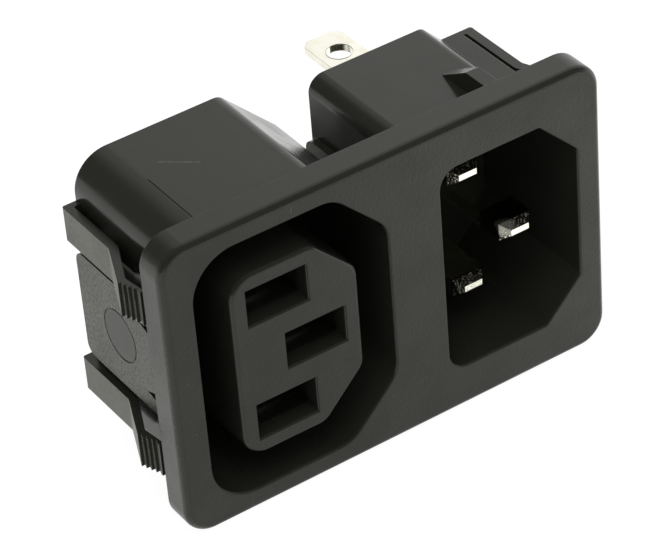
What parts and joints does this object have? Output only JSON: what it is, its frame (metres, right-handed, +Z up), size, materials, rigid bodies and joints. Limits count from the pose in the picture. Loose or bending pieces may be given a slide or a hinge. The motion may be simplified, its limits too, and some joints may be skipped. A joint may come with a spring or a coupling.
{
  "type": "combined inlet and outlet panel socket",
  "caption": "Snap-in panel socket with an earthed outlet and a pin inlet side by side in one black flanged housing with toothed latch arms and solder tabs.",
  "frame": {"origin": "middle of the flange's rear face, which seats on the panel", "axes": "+X to the right seen from the front, +Y through the panel to the rear, +Z up"},
  "size_m": [0.0545, 0.0306, 0.035],
  "materials": {
    "housing_plastic": "black thermoplastic, fine satin grain on the flange, smoother on the blocks",
    "cover_plastic": "black thermoplastic, fine satin grain",
    "pin_plating": "bright nickel plating on brass, tinned at the tab",
    "contact_spring_plating": "tin plating on spring bronze"
  },
  "bodies": {
    "root": {"housing": "housing_plastic", "outlet_rear_cover": "cover_plastic", "inlet_rear_cover": "cover_plastic", "outlet_line_contact": "contact_spring_plating", "outlet_neutral_contact": "contact_spring_plating", "outlet_earth_contact": "contact_spring_plating", "inlet_line_pin": "pin_plating", "inlet_neutral_pin": "pin_plating", "inlet_earth_pin": "pin_plating"}
  },
  "joints": []
}
